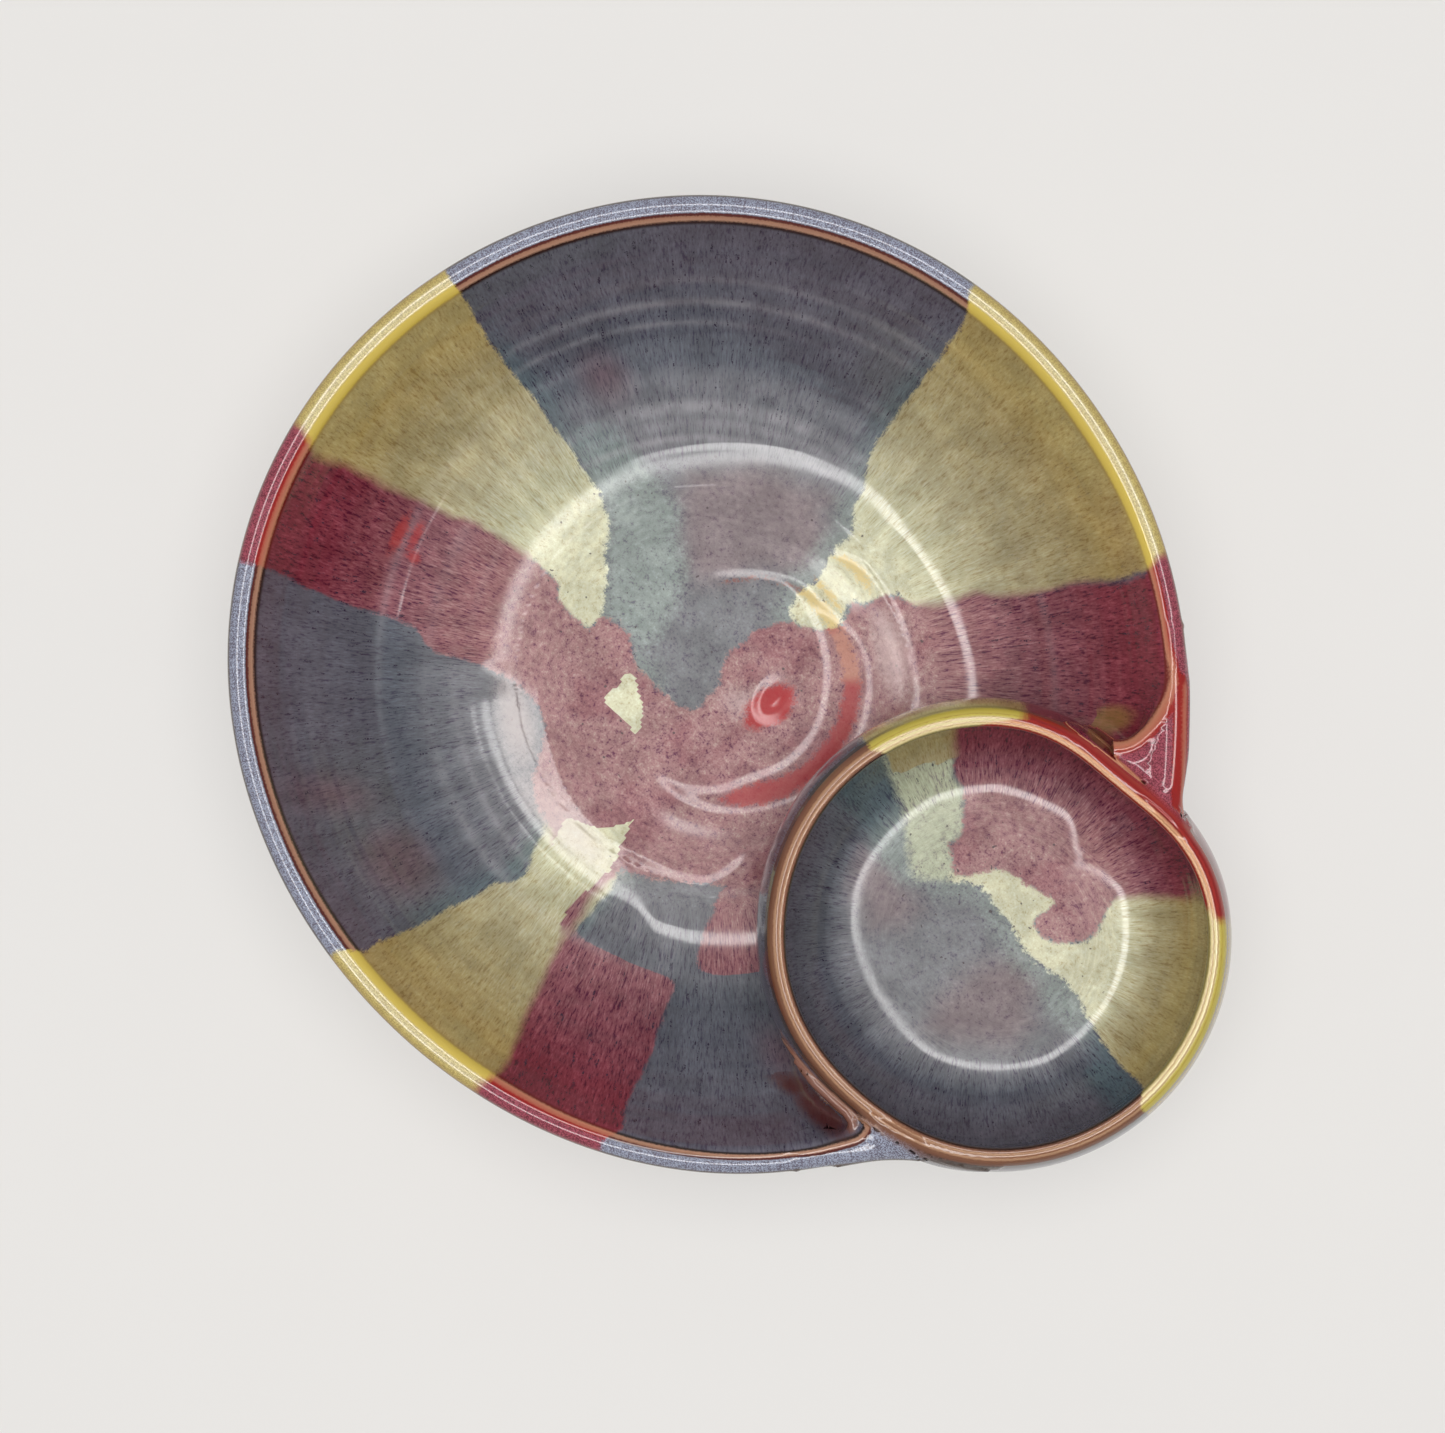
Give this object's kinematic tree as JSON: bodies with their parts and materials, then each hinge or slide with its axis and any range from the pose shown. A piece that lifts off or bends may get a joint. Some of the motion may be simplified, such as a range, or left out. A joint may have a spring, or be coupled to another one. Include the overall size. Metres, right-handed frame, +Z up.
{
  "type": "chip and dip server",
  "caption": "Handmade glazed stoneware chip bowl, slightly oval at the rim, with a smaller dip bowl let into its side.",
  "frame": {"origin": "centre of the chip bowl's foot ring, on the surface it stands on", "axes": "+Z up, out of the bowls; +X from the chip bowl's axis to the dip bowl's axis"},
  "size_m": [0.3072, 0.2603, 0.0775],
  "materials": {
    "glazed_stoneware": "gloss glaze in slate blue, straw yellow and plum"
  },
  "bodies": {
    "root": {"chip_bowl": "glazed_stoneware", "dip_bowl": "glazed_stoneware", "wide_rim_web": "glazed_stoneware", "narrow_rim_web": "glazed_stoneware", "inner_seam": "glazed_stoneware", "outer_seam": "glazed_stoneware"}
  },
  "joints": []
}
